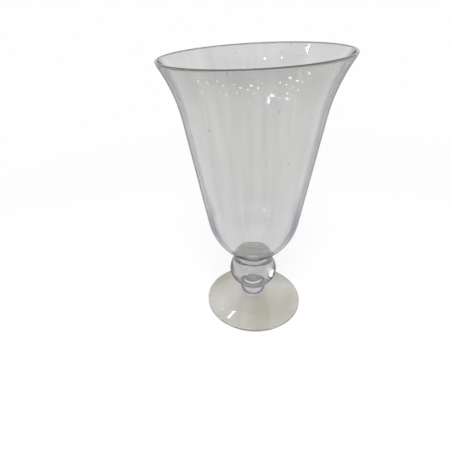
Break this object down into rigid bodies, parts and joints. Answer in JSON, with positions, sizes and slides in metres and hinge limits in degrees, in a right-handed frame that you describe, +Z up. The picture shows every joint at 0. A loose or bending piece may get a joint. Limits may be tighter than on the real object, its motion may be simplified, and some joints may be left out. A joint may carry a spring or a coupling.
{
  "type": "footed trumpet vase",
  "caption": "Clear glass footed vase: a bell-shaped bowl that flares to a rounded lip, on a ball stem between two collars and a hollow conical foot. Holds cut stems and water.",
  "frame": {"origin": "centre of the foot's standing ring, on the surface that the vase stands on", "axes": "+Z up along the vase's axis of revolution; X and Y are free because the vase is round"},
  "size_m": [0.1824, 0.1824, 0.3],
  "materials": {
    "bowl_glass": "clear, fire polished",
    "stem_glass": "clear, faint violet where thick",
    "foot_glass": "clear, pressed and fire polished"
  },
  "bodies": {
    "root": {"foot": "foot_glass", "lower_collar": "stem_glass", "ball_knop": "stem_glass", "upper_collar": "stem_glass", "bowl": "bowl_glass"}
  },
  "joints": []
}
